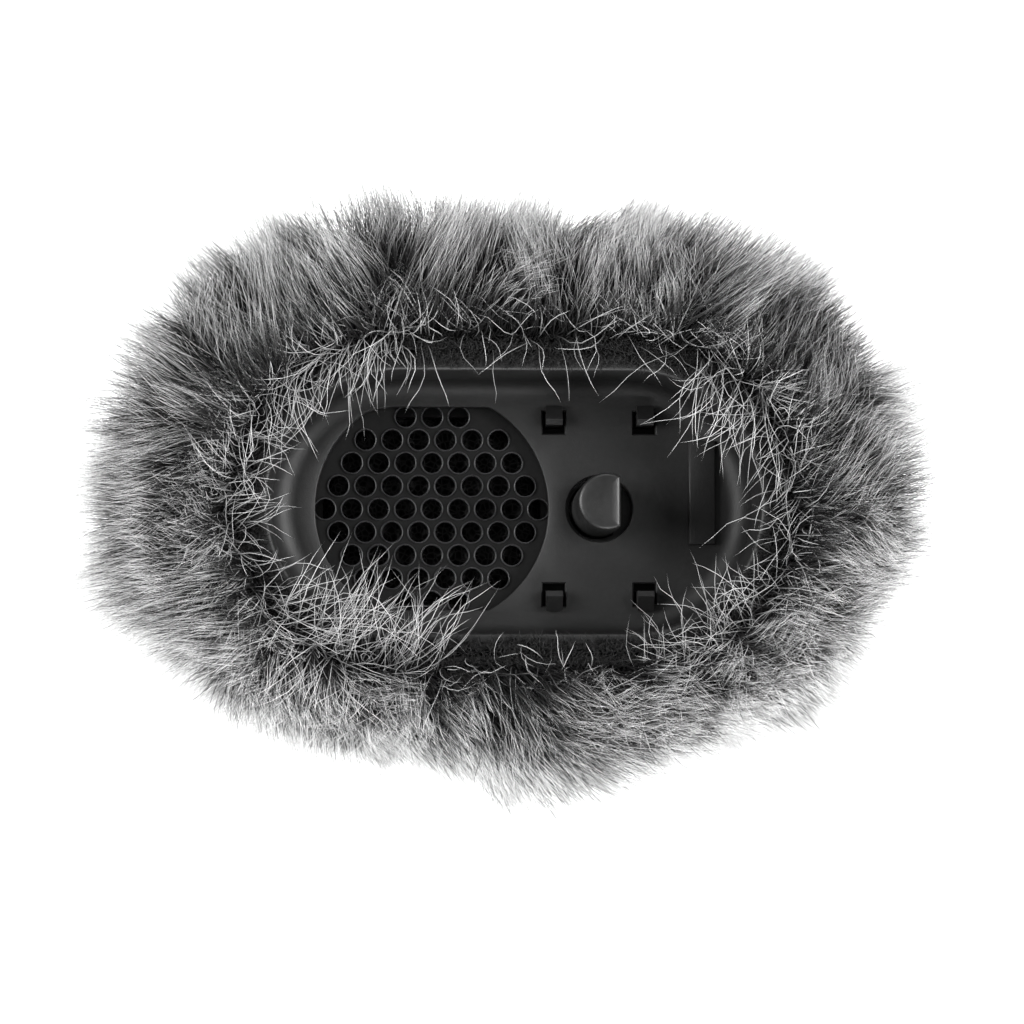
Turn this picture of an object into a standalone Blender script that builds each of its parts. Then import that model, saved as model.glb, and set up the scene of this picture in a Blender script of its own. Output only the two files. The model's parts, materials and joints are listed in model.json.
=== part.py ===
"""Furry windscreen for a pocket clip-on microphone.

The end of the microphone pushes into a black moulded socket shaped like a pill. A round window
in the socket's floor lets sound through a perforated grille, with foam behind it. A D-shaped peg
stands in the socket and plugs into the microphone's headset jack, which holds the windscreen on.
Four snap hooks on a carrier plate reach up through the floor and clip the two mouldings together.
Outside, four gores of long-pile fur are sewn into a bag round a foam core, and the bag's bound
hem is glued round the socket. The part lies on the crown of its fur, with its mouth up.

Every outline seen from above is a pill: the points at one distance, here called the reach, from
a spine that lies along X. So one profile of (reach, height) points describes a whole moulding.
"""

import math

import bmesh
import bpy

MM = 0.001

# Driving sizes
SPINE_HALF = 7.05 * MM          # half the length of the spine inside every pill outline
FINE_ARC = 24                   # straight pieces in each half-round end of the socket
ARC = 12                        # and of the pieces hidden inside
GAP = 0.3 * MM                  # space kept between neighbouring pieces

# The socket
MOUTH_REACH = 8.05 * MM         # inside of the wall at the mouth
WALL = 1.1 * MM
FLOOR_REACH = 6.6 * MM          # edge of the flat floor, where the fillet starts
FLOOR_TOP = 20.9 * MM
FLOOR_THICKNESS = 1.2 * MM
RIM_TOP = 27.4 * MM
RIM_EDGE = 0.25 * MM            # width of the eased edges of the rim
SOCKET_REACH = MOUTH_REACH + WALL
FLOOR_BOTTOM = FLOOR_TOP - FLOOR_THICKNESS

# The grille behind its window
GRILLE_X = -5.04 * MM
WINDOW_RADIUS = 7.4 * MM
WINDOW_HALF_WIDTH = 6.45 * MM   # the window is cropped before it reaches the fillets
GRILLE_RADIUS = 7.9 * MM
GRILLE_THICKNESS = 0.8 * MM
GRILLE_SEAT = 0.6 * MM          # depth of the counterbore that takes the grille from below
GRILLE_TOP = FLOOR_BOTTOM + GRILLE_SEAT - GAP
HOLE_PITCH = 1.70 * MM
HOLE_RADIUS = 0.62 * MM
HOLES_IN_ROW = {0: 9, 1: 8, 2: 7, 3: 6, 4: 3}

# The carrier plate under the floor
CARRIER_REACH = 8.6 * MM
CARRIER_THICKNESS = 0.7 * MM
CARRIER_TOP = 18.6 * MM
CARRIER_WINDOW_RADIUS = 7.0 * MM
CARRIER_WINDOW_HALF_WIDTH = 6.0 * MM

# The peg that fills the headset jack
PEG_X = 5.58 * MM
PEG_RADIUS = 1.75 * MM
PEG_FLAT = 0.85 * MM            # distance from the axis to the flat
PEG_TOP = 28.0 * MM
PEG_HOLE_RADIUS = 2.09 * MM
FLANGE_RADIUS = 2.4 * MM
FLANGE_THICKNESS = 0.5 * MM

# The snap hooks
HOOK_OFFSET_X = 2.89 * MM       # each hook's distance from the peg, along X
HOOK_WIDTH = 1.04 * MM
HOOK_INNER = 5.25 * MM          # distances from the middle plane, along Y
HOOK_STEM_OUTER = 6.0 * MM
HOOK_HEAD_OUTER = 6.5 * MM
HOOK_CLEARANCE = 0.2 * MM
HOOK_ROOT = 18.9 * MM           # height of the root, and of the axis it flexes about
HOOK_HEAD_BOTTOM = FLOOR_TOP + HOOK_CLEARANCE
HOOK_TIP = 22.0 * MM
SLOT_INNER = 4.75 * MM

# The locating block on the floor near the peg's end
BLOCK_SIZE = (1.7 * MM, 6.6 * MM, 0.45 * MM)
BLOCK_X = 12.1 * MM
BLOCK_Y = 1.0 * MM

# The foam
PAD_THICKNESS = 1.0 * MM
CORE_TOP = CARRIER_TOP - CARRIER_THICKNESS - GAP
CORE_PROFILE = [(5.6, 8.4), (9.1, 9.8), (10.9, 12.2), (11.5, 15.0), (11.3, CORE_TOP / MM)]

# The glue band and the bound hem, as (lowest, highest) reach and height
GLUE_REACH = (SOCKET_REACH + GAP, 9.9 * MM)
GLUE_HEIGHT = (21.0 * MM, 26.6 * MM)
BINDING_REACH = (10.2 * MM, 10.9 * MM)
BINDING_HEIGHT = (24.2 * MM, 27.2 * MM)

# The fur, backing cloth and pile together, as (reach, height) in millimetres
FUR_SKIN = [(0.7, 8.0), (6.0, 8.1), (9.5, 9.4), (11.3, 12.0), (11.9, 15.0), (11.4, 18.6),
            (10.2, 21.0), (10.2, 23.9), (11.2, 23.9), (11.2, 27.4)]
FUR_PILE = [(11.6, 29.5), (13.1, 31.4), (15.0, 32.0), (17.0, 31.1), (18.8, 28.2), (19.8, 24.0),
            (20.0, 19.0), (19.6, 13.5), (18.3, 8.2), (16.0, 3.9), (13.0, 1.1), (9.5, 0.0),
            (0.7, 0.0)]
SEAM_ANGLE = 45.0               # where the seams between the gores run, in degrees
GORE_STEP = 15.0


def clear_scene():
    for item in list(bpy.data.objects):
        bpy.data.objects.remove(item, do_unlink=True)


def make_material(name, colour, roughness, metallic=0.0):
    material = bpy.data.materials.new(name)
    material.use_nodes = True
    shader = material.node_tree.nodes["Principled BSDF"]
    shader.inputs["Base Color"].default_value = (*colour, 1.0)
    shader.inputs["Roughness"].default_value = roughness
    shader.inputs["Metallic"].default_value = metallic
    return material


def link_mesh(name, work, material, smooth_angle=35.0):
    """Turns the bmesh into an object with outward faces, and shades its round parts smooth."""
    bmesh.ops.recalc_face_normals(work, faces=work.faces)
    mesh = bpy.data.meshes.new(name)
    work.to_mesh(mesh)
    work.free()
    mesh.shade_smooth()
    mesh.set_sharp_from_angle(angle=math.radians(smooth_angle))
    if material is not None:
        mesh.materials.append(material)
    item = bpy.data.objects.new(name, mesh)
    bpy.context.collection.objects.link(item)
    return item


def pill_outline(reach, arc_steps=ARC):
    """Points of the pill outline at this reach, counter-clockwise."""
    points = []
    for end, start in ((SPINE_HALF, -90.0), (-SPINE_HALF, 90.0)):
        for step in range(arc_steps + 1):
            angle = math.radians(start + 180.0 * step / arc_steps)
            points.append((end + reach * math.cos(angle), reach * math.sin(angle)))
    return points


def round_outline(radius, centre_x, sides, half_width=None, flat=None):
    """Points of a circle round (centre_x, 0), cropped at y = +-half_width or at x = flat."""
    points = []
    for side in range(sides):
        angle = 2.0 * math.pi * (side + 0.5) / sides
        x = radius * math.cos(angle)
        y = radius * math.sin(angle)
        if half_width is not None:
            y = max(-half_width, min(half_width, y))
        if flat is not None:
            x = min(x, flat)
        points.append((centre_x + x, y))
    return points


def stack(name, levels, material, closed=False):
    """Joins outlines of equal length, given as (points, height), into one closed body.

    The first and last outlines are capped, or joined to each other if closed is True.
    """
    work = bmesh.new()
    loops = [[work.verts.new((x, y, height)) for x, y in points] for points, height in levels]
    count = len(loops[0])
    pairs = list(zip(loops, loops[1:]))
    if closed:
        pairs.append((loops[-1], loops[0]))
    else:
        work.faces.new(loops[0][::-1])
        work.faces.new(loops[-1])
    for lower, upper in pairs:
        for i in range(count):
            j = (i + 1) % count
            work.faces.new((lower[i], lower[j], upper[j], upper[i]))
    return link_mesh(name, work, material)


def box(name, low, high, material=None):
    """A box between two corners."""
    outline = [(low[0], low[1]), (high[0], low[1]), (high[0], high[1]), (low[0], high[1])]
    return stack(name, [(outline, low[2]), (outline, high[2])], material)


def disc(name, outline, bottom, top, material=None):
    """A flat plate of the given outline."""
    return stack(name, [(outline, bottom), (outline, top)], material)


def apply_boolean(target, tool, operation):
    """Adds or cuts away the tool, which stays in the file as a hidden guide."""
    tool.hide_render = True
    tool.display_type = "WIRE"
    modifier = target.modifiers.new(tool.name, "BOOLEAN")
    modifier.operation = operation
    modifier.solver = "EXACT"
    modifier.object = tool


def fillet(steps=5):
    """Profile points of the round between the socket's wall and floor, from wall to floor."""
    width = MOUTH_REACH - FLOOR_REACH
    points = []
    for step in range(steps + 1):
        angle = 0.5 * math.pi * step / steps
        reach = FLOOR_REACH + width * math.cos(angle)
        height = FLOOR_TOP + width * (1.0 - math.sin(angle))
        points.append((reach, height))
    return points


def socket_cup(material):
    profile = [
        (SOCKET_REACH - 0.4 * MM, FLOOR_BOTTOM),
        (SOCKET_REACH, FLOOR_BOTTOM + 0.4 * MM),
        (SOCKET_REACH, RIM_TOP - RIM_EDGE),
        (SOCKET_REACH - RIM_EDGE, RIM_TOP),
        (MOUTH_REACH + RIM_EDGE, RIM_TOP),
        (MOUTH_REACH, RIM_TOP - RIM_EDGE),
    ]
    profile += fillet()
    levels = [(pill_outline(reach, FINE_ARC), height) for reach, height in profile]
    cup = stack("socket_cup", levels, material)
    block_low = (BLOCK_X - BLOCK_SIZE[0] / 2, BLOCK_Y - BLOCK_SIZE[1] / 2, FLOOR_TOP - GAP)
    block_high = (BLOCK_X + BLOCK_SIZE[0] / 2, BLOCK_Y + BLOCK_SIZE[1] / 2, FLOOR_TOP + BLOCK_SIZE[2])
    apply_boolean(cup, box("guide_block", block_low, block_high), "UNION")
    below = FLOOR_BOTTOM - 1.0 * MM
    above = FLOOR_TOP + 1.0 * MM
    window = round_outline(WINDOW_RADIUS, GRILLE_X, 48, half_width=WINDOW_HALF_WIDTH)
    apply_boolean(cup, disc("cutter_window", window, below, above), "DIFFERENCE")
    seat = round_outline(GRILLE_RADIUS + GAP, GRILLE_X, 48)
    apply_boolean(cup, disc("cutter_seat", seat, below, FLOOR_BOTTOM + GRILLE_SEAT), "DIFFERENCE")
    hole = round_outline(PEG_HOLE_RADIUS, PEG_X, 32)
    apply_boolean(cup, disc("cutter_peg_hole", hole, below, above), "DIFFERENCE")
    for name, x, side in hook_places():
        slot = slot_box("cutter_slot_" + name, x, side, below, above)
        apply_boolean(cup, slot, "DIFFERENCE")
    return cup


def slot_box(name, x, side, bottom, top):
    """The slot that one hook stands in, on the side of the middle plane given by side."""
    half = HOOK_WIDTH / 2 + HOOK_CLEARANCE
    near = side * SLOT_INNER
    far = side * (HOOK_STEM_OUTER + HOOK_CLEARANCE)
    return box(name, (x - half, min(near, far), bottom), (x + half, max(near, far), top))


def mic_grille(material):
    outline = round_outline(GRILLE_RADIUS, GRILLE_X, 48)
    bottom = GRILLE_TOP - GRILLE_THICKNESS
    plate = disc("mic_grille", outline, bottom, GRILLE_TOP, material)
    work = bmesh.new()
    row_pitch = HOLE_PITCH * math.sqrt(0.75)
    for row in range(-4, 5):
        holes = HOLES_IN_ROW[abs(row)]
        for hole in range(holes):
            x = GRILLE_X + (hole - (holes - 1) / 2.0) * HOLE_PITCH
            points = round_outline(HOLE_RADIUS, x, 10)
            y = row * row_pitch
            lower = [work.verts.new((px, y + py, bottom - GAP)) for px, py in points]
            upper = [work.verts.new((px, y + py, GRILLE_TOP + GAP)) for px, py in points]
            work.faces.new(lower[::-1])
            work.faces.new(upper)
            for i in range(len(points)):
                j = (i + 1) % len(points)
                work.faces.new((lower[i], lower[j], upper[j], upper[i]))
    apply_boolean(plate, link_mesh("cutter_holes", work, None), "DIFFERENCE")
    return plate


def carrier_plate(material):
    outline = pill_outline(CARRIER_REACH)
    bottom = CARRIER_TOP - CARRIER_THICKNESS
    plate = disc("carrier_plate", outline, bottom, CARRIER_TOP, material)
    window = round_outline(CARRIER_WINDOW_RADIUS, GRILLE_X, 48, CARRIER_WINDOW_HALF_WIDTH)
    cutter = disc("cutter_carrier", window, bottom - MM, CARRIER_TOP + MM)
    apply_boolean(plate, cutter, "DIFFERENCE")
    return plate


def locking_peg(material):
    sides = 32
    edge = 0.3 * MM
    dome = 0.12 * MM
    flange_bottom = CARRIER_TOP + GAP
    flange_top = flange_bottom + FLANGE_THICKNESS
    flange = round_outline(FLANGE_RADIUS, PEG_X, sides)
    shaft = round_outline(PEG_RADIUS, PEG_X, sides, flat=PEG_FLAT)
    eased = round_outline(PEG_RADIUS - edge, PEG_X, sides, flat=PEG_FLAT - edge)
    crown = round_outline(PEG_RADIUS / 2, PEG_X, sides, flat=PEG_FLAT / 2)
    levels = [
        (flange, flange_bottom),
        (flange, flange_top),
        (shaft, flange_top),
        (shaft, PEG_TOP - edge - dome),
        (eased, PEG_TOP - dome),
        (crown, PEG_TOP),
    ]
    return stack("locking_peg", levels, material)


def hook_places():
    """Name, X and side of the middle plane of each snap hook."""
    places = []
    for side_name, side in (("front", -1), ("back", 1)):
        for end_name, end in (("left", -1), ("right", 1)):
            places.append((f"{side_name}_{end_name}", PEG_X + end * HOOK_OFFSET_X, side))
    return places


def snap_hook(name, x, side, material):
    """A flat stem with a head that catches the floor's edge. Its origin is on its flexing axis."""
    pivot = (x, side * (HOOK_INNER + HOOK_STEM_OUTER) / 2, HOOK_ROOT)
    outline = [
        (HOOK_INNER, HOOK_ROOT),
        (HOOK_STEM_OUTER, HOOK_ROOT),
        (HOOK_STEM_OUTER, HOOK_HEAD_BOTTOM),
        (HOOK_HEAD_OUTER, HOOK_HEAD_BOTTOM),
        (HOOK_HEAD_OUTER, HOOK_HEAD_BOTTOM + 0.25 * MM),
        (HOOK_INNER + 0.35 * MM, HOOK_TIP),
        (HOOK_INNER, HOOK_TIP - 0.2 * MM),
    ]
    work = bmesh.new()
    ends = []
    for end in (-1, 1):
        ends.append([
            work.verts.new((end * HOOK_WIDTH / 2, side * y - pivot[1], z - pivot[2]))
            for y, z in outline
        ])
    left, right = ends
    work.faces.new(left)
    work.faces.new(right[::-1])
    for i in range(len(outline)):
        j = (i + 1) % len(outline)
        work.faces.new((left[i], right[i], right[j], left[j]))
    hook = link_mesh("snap_hook_" + name, work, material)
    hook.location = pivot
    return hook


def foam_pad(material):
    outline = round_outline(CARRIER_WINDOW_RADIUS - GAP, GRILLE_X, 36,
                            CARRIER_WINDOW_HALF_WIDTH - GAP)
    top = GRILLE_TOP - GRILLE_THICKNESS - GAP
    return disc("foam_pad", outline, top - PAD_THICKNESS, top, material)


def foam_core(material):
    levels = [(pill_outline(reach * MM), z * MM) for reach, z in CORE_PROFILE]
    return stack("foam_core", levels, material)


def band(name, reaches, heights, material):
    """A strip that runs right round the socket, standing on its edge."""
    inner = pill_outline(reaches[0])
    outer = pill_outline(reaches[1])
    levels = [(outer, heights[0]), (outer, heights[1]), (inner, heights[1]), (inner, heights[0])]
    return stack(name, levels, material, closed=True)


def gore_stations(first, last):
    """Radial lines across one gore, from angle first to angle last, counter-clockwise.

    Each is (spine point, angle, sideways shift). The outermost two are shifted into the gore by
    half a gap, so that neighbouring gores stay clear of each other.
    """
    stations = []
    steps = round((last - first) / GORE_STEP)
    for step in range(steps + 1):
        angle = first + GORE_STEP * step
        shift = {0: GAP / 2, steps: -GAP / 2}.get(step, 0.0)
        across = math.cos(math.radians(angle))
        ends = [math.copysign(SPINE_HALF, across)]
        if abs(across) < 1e-6:
            ends = [-SPINE_HALF, SPINE_HALF] if first > 180.0 else [SPINE_HALF, -SPINE_HALF]
        stations += [(end, math.radians(angle), shift) for end in ends]
    return stations


def fur_gore(name, first, last, material):
    profile = [(reach * MM, height * MM) for reach, height in FUR_SKIN + FUR_PILE]
    work = bmesh.new()
    sections = []
    for spine, angle, shift in gore_stations(first, last):
        section = []
        for reach, height in profile:
            x = spine + reach * math.cos(angle) - shift * math.sin(angle)
            y = reach * math.sin(angle) + shift * math.cos(angle)
            section.append(work.verts.new((x, y, height)))
        sections.append(section)
    work.faces.new(sections[0])
    work.faces.new(sections[-1][::-1])
    for here, there in zip(sections, sections[1:]):
        for i in range(len(profile)):
            j = (i + 1) % len(profile)
            work.faces.new((here[i], there[i], there[j], here[j]))
    return link_mesh("fur_" + name, work, material)


def build():
    clear_scene()
    plastic = make_material("black_moulding", (0.022, 0.022, 0.024), 0.42)
    grille = make_material("grille_moulding", (0.012, 0.012, 0.013), 0.38)
    peg = make_material("peg_moulding", (0.05, 0.05, 0.053), 0.4)
    foam = make_material("open_cell_foam", (0.018, 0.018, 0.019), 0.95)
    glue = make_material("glue", (0.05, 0.05, 0.05), 0.6)
    tape = make_material("binding_tape", (0.012, 0.012, 0.013), 0.9)
    fur = make_material("grey_fur", (0.32, 0.32, 0.33), 0.9)

    socket_cup(plastic)
    mic_grille(grille)
    carrier_plate(plastic)
    locking_peg(peg)
    for name, x, side in hook_places():
        snap_hook(name, x, side, plastic)
    foam_pad(foam)
    foam_core(foam)
    band("glue_band", GLUE_REACH, GLUE_HEIGHT, glue)
    band("hem_binding", BINDING_REACH, BINDING_HEIGHT, tape)
    fur_gore("front", 180.0 + SEAM_ANGLE, 360.0 - SEAM_ANGLE, fur)
    fur_gore("right", -SEAM_ANGLE, SEAM_ANGLE, fur)
    fur_gore("back", SEAM_ANGLE, 180.0 - SEAM_ANGLE, fur)
    fur_gore("left", 180.0 - SEAM_ANGLE, 180.0 + SEAM_ANGLE, fur)


build()
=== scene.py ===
"""Looks of the furry windscreen: plastics, foam, bound hem, backing cloth and a long grey pile."""

import json
import math

import bmesh
import bpy
import numpy as np
from mathutils import Matrix, Vector
from mathutils.geometry import delaunay_2d_cdt
from mathutils.kdtree import KDTree


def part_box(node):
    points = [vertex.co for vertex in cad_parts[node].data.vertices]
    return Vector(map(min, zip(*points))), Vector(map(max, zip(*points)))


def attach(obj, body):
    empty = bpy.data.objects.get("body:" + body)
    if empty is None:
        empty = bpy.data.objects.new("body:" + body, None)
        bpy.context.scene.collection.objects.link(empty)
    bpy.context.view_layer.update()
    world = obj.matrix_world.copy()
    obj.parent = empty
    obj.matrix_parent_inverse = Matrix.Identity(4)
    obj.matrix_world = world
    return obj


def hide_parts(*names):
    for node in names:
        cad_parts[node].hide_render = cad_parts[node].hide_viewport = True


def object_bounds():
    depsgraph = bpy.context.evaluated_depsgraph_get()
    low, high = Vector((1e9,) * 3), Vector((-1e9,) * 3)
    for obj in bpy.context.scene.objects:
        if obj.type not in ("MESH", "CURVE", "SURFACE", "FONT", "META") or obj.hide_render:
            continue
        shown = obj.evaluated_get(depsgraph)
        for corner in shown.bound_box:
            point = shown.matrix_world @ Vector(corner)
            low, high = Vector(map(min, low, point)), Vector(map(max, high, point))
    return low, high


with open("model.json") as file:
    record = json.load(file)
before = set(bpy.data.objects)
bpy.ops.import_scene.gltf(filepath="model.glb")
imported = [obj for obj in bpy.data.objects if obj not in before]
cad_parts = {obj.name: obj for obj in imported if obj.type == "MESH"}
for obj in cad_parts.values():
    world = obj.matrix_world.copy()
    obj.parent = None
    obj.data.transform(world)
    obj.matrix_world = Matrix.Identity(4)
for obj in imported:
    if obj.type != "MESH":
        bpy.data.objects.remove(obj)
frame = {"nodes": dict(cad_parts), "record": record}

MM = 0.001
CAD_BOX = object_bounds()
BODY = "windscreen"
SEED = 41


# ---------------------------------------------------------------- sizes, read from the frame

def mount(name):
    return Vector(next(m["pos_m"] for m in frame["record"]["mounts"] if m["name"] == name))


CUP_LOW, CUP_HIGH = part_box("socket_cup")
SPINE = (CUP_HIGH.x - CUP_HIGH.y) / MM          # half the spine inside every pill outline, in mm
CUP_REACH = CUP_HIGH.y / MM                     # outside of the socket's wall, from the spine
MOUTH_REACH = 2.0 * abs(mount("socket_rim").y) / MM - CUP_REACH
RIM = CUP_HIGH.z / MM
FLOOR_TOP = mount("socket_floor").z / MM
FLOOR_BOTTOM = CUP_LOW.z / MM
GRILLE_LOW, GRILLE_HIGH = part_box("mic_grille")
BIND_LOW, BIND_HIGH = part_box("hem_binding")
CORE_LOW, CORE_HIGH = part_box("foam_core")
HEM_REACH = BIND_HIGH.y / MM
HOOKS = [name for name in frame["nodes"] if name.startswith("snap_hook")]


# ---------------------------------------------------------------- node helpers

def fill_ramp(ramp, stops):
    """Sets a colour ramp's stops, each a (position, grey)."""
    while len(ramp.elements) < len(stops):
        ramp.elements.new(0.5)
    for element, (at, grey) in zip(ramp.elements, stops):
        element.position = at
        element.color = (grey, grey, grey, 1.0)


class Nodes:
    """Builds one node material with short calls."""

    def __init__(self, name):
        self.material = bpy.data.materials.new(name)
        self.material.use_nodes = True
        self.tree = self.material.node_tree
        self.shader = self.tree.nodes["Principled BSDF"]

    def add(self, kind, **values):
        node = self.tree.nodes.new(kind)
        for key, value in values.items():
            setattr(node, key, value)
        return node

    def link(self, a, b):
        self.tree.links.new(a, b)

    def set(self, name, value):
        self.shader.inputs[name].default_value = value

    def place(self, scale):
        """Object coordinates in millimetres, times scale."""
        source = self.add("ShaderNodeTexCoord")
        mapping = self.add("ShaderNodeMapping")
        factors = scale if isinstance(scale, tuple) else (scale,) * 3
        mapping.inputs["Scale"].default_value = tuple(f / MM for f in factors)
        self.link(source.outputs["Object"], mapping.inputs["Vector"])
        return mapping.outputs["Vector"]

    def noise(self, scale, detail=3.0, rough=0.5, vector=None):
        node = self.add("ShaderNodeTexNoise")
        node.inputs["Scale"].default_value = 1.0
        node.inputs["Detail"].default_value = detail
        node.inputs["Roughness"].default_value = rough
        self.link(vector or self.place(scale), node.inputs["Vector"])
        return node.outputs["Fac"]

    def ramp(self, value, stops):
        node = self.add("ShaderNodeValToRGB")
        fill_ramp(node.color_ramp, stops)
        self.link(value, node.inputs["Fac"])
        return node.outputs["Color"]

    def math(self, operation, a, b=None):
        node = self.add("ShaderNodeMath", operation=operation)
        for socket, value in zip(node.inputs, (a, b)):
            if value is None:
                continue
            if isinstance(value, (int, float)):
                socket.default_value = value
            else:
                self.link(value, socket)
        return node.outputs[0]

    def mix(self, factor, a, b, blend="MIX"):
        node = self.add("ShaderNodeMix", data_type="RGBA", blend_type=blend)
        for socket, value in ((node.inputs[0], factor), (node.inputs[6], a), (node.inputs[7], b)):
            if isinstance(value, (int, float)):
                socket.default_value = value
            elif isinstance(value, tuple):
                socket.default_value = (*value, 1.0)
            else:
                self.link(value, socket)
        return node.outputs[2]

    def bump(self, height, distance, strength=1.0, under=None):
        node = self.add("ShaderNodeBump")
        node.inputs["Strength"].default_value = strength
        node.inputs["Distance"].default_value = distance * MM
        self.link(height, node.inputs["Height"])
        if under is not None:
            self.link(under, node.inputs["Normal"])
        return node.outputs["Normal"]

    def colour(self, value):
        self.link(value, self.shader.inputs["Base Color"])

    def roughness(self, value):
        self.link(value, self.shader.inputs["Roughness"])

    def normal(self, value):
        self.link(value, self.shader.inputs["Normal"])


def moulded(name, dark, light, rough_low, rough_high):
    """Spark-eroded black moulding: fine grain, soft cloudy shade and slightly uneven gloss."""
    n = Nodes(name)
    cloud = n.noise(0.35, 4.0, 0.6)
    grain = n.noise(9.0, 2.0, 0.7)
    speck = n.noise(3.0, 3.0, 0.6)
    base = n.ramp(cloud, [(0.3, dark), (0.7, light)])
    n.colour(n.mix(0.35, base, n.ramp(speck, [(0.35, 0.6), (0.65, 1.5)]), "MULTIPLY"))
    n.roughness(n.ramp(cloud, [(0.3, rough_low), (0.7, rough_high)]))
    n.set("Specular IOR Level", 0.5)
    n.normal(n.bump(grain, 0.02, 0.35, n.bump(speck, 0.03, 0.25)))
    return n.material


def grille_material(top):
    """Matt black moulding, with a painted highlight in grey on the raised lips of its holes."""
    n = Nodes("grille_moulding_grain")
    parts = n.add("ShaderNodeSeparateXYZ")
    n.link(n.place(1.0), parts.inputs["Vector"])
    # Painted highlight: the highest parts, the raised lips of the holes, are painted patchy grey
    # where they would catch the light
    depth = n.math("SUBTRACT", parts.outputs["Z"], top - 0.2)
    lip_highlight = n.ramp(depth, [(0.06, 0.0), (0.17, 0.7), (0.2, 1.0)])
    patchy = n.ramp(n.noise(1.1, 3.0, 0.6), [(0.3, 0.55), (0.7, 1.0)])
    lip_highlight = n.mix(1.0, lip_highlight, patchy, "MULTIPLY")
    face = n.ramp(n.noise(4.0, 3.0, 0.6), [(0.3, 0.003), (0.7, 0.007)])
    n.colour(n.mix(lip_highlight, face, (0.085, 0.085, 0.088)))
    n.set("Roughness", 0.36)
    n.normal(n.bump(n.noise(9.0, 2.0, 0.7), 0.02, 0.3))
    return n.material


def foam_material():
    """Open-cell foam: black walls round darker cells, whose darkness is painted shade in the
    pores.
    """
    n = Nodes("foam_cells")
    cells = n.add("ShaderNodeTexVoronoi", feature="DISTANCE_TO_EDGE")
    cells.inputs["Scale"].default_value = 1.0
    n.link(n.place(2.6), cells.inputs["Vector"])
    # Painted shade: each cell darkens from its walls to its middle, as the shade inside a pore
    walls = n.ramp(cells.outputs["Distance"], [(0.0, 0.05), (0.16, 0.014), (0.4, 0.002)])
    n.colour(n.mix(0.5, walls, n.ramp(n.noise(0.9), [(0.3, 0.5), (0.7, 1.5)]), "MULTIPLY"))
    n.set("Roughness", 0.95)
    n.set("Specular IOR Level", 0.1)
    n.normal(n.bump(cells.outputs["Distance"], -0.25, 0.8))
    return n.material


def weave_material(name, pitch, dark, light):
    """Plain weave: two sets of threads at right angles, over and under each other, with painted
    shade in the hollows between them.
    """
    n = Nodes(name)
    place = n.place(2.0 * math.pi / pitch)
    parts = n.add("ShaderNodeSeparateXYZ")
    n.link(place, parts.inputs["Vector"])
    along = n.math("ADD", parts.outputs["X"], parts.outputs["Y"])
    warp = n.math("SINE", along)
    weft = n.math("SINE", parts.outputs["Z"])
    height = n.math("MULTIPLY", warp, weft)
    fibre = n.noise(6.0, 3.0, 0.7)
    # Painted shade: the weave is darker where its height is low, between the threads, and lighter
    # on their crests
    n.colour(n.mix(0.6, n.ramp(height, [(0.0, dark), (1.0, light)]),
                   n.ramp(fibre, [(0.3, 0.5), (0.7, 1.5)]), "MULTIPLY"))
    n.set("Roughness", 0.92)
    n.set("Specular IOR Level", 0.15)
    n.normal(n.bump(height, 0.06, 0.7, n.bump(fibre, 0.03, 0.5)))
    return n.material


def glue_material():
    n = Nodes("glue_smear")
    smear = n.noise((0.25, 0.25, 1.0), 4.0, 0.6)
    n.colour(n.ramp(smear, [(0.3, 0.02), (0.7, 0.07)]))
    n.roughness(n.ramp(smear, [(0.3, 0.35), (0.7, 0.7)]))
    n.normal(n.bump(smear, 0.15, 0.6))
    return n.material


STRAND_COLUMNS = 64
FUR_UV = "OFBake"


def fur_material(name, stops, spread, painted_light_stops=None):
    """One fibre: V runs from root to tip, and each column of U is another fibre's shade.

    The upper half of the columns is for paler fibres, if there are any: a lighter ramp, painted
    light on the outer pile and the front."""
    n = Nodes(name)
    uv = n.add("ShaderNodeUVMap", uv_map=FUR_UV)
    parts = n.add("ShaderNodeSeparateXYZ")
    n.link(uv.outputs["UV"], parts.inputs["Vector"])
    column = n.math("FLOOR", n.math("MULTIPLY", parts.outputs["X"], float(STRAND_COLUMNS)))
    shade = n.add("ShaderNodeTexWhiteNoise", noise_dimensions="1D")
    n.link(column, shade.inputs["W"])
    along = n.ramp(parts.outputs["Y"], stops)
    # Painted light: fibres in the upper half of the columns take a lighter ramp, for the outer
    # pile and the front, which are lit more
    if painted_light_stops:
        painted_light_fibres = n.math("GREATER_THAN", parts.outputs["X"], 0.5)
        along = n.mix(painted_light_fibres, along, n.ramp(parts.outputs["Y"], painted_light_stops))
    tint = n.ramp(shade.outputs["Value"], [(0.0, 1.0 - spread), (1.0, 1.0 + spread)])
    n.colour(n.mix(1.0, along, tint, "MULTIPLY"))
    n.set("Roughness", 0.55)
    n.set("Specular IOR Level", 0.35)
    return n.material


# ---------------------------------------------------------------- pill-shaped geometry, in mm

def pill_loop(reach, steps):
    """Points of the pill outline at this reach, counter-clockwise, evenly spread."""
    straight = 2.0 * SPINE
    arc = math.pi * reach
    total = 2.0 * (straight + arc)
    q = (np.arange(steps) + 0.5) / steps * total
    spine, angle = around(q, np.full(steps, reach))
    return np.stack([spine + reach * np.cos(angle), reach * np.sin(angle)], axis=1)


def perimeter(reach):
    return 4.0 * SPINE + 2.0 * math.pi * reach


def spread_over(rng, reach):
    """A random place on the pill outline of each reach: x, y and the angle there."""
    spine, angle = around(rng.random(len(reach)) * perimeter(reach), reach)
    return spine + reach * np.cos(angle), reach * np.sin(angle), angle


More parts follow.
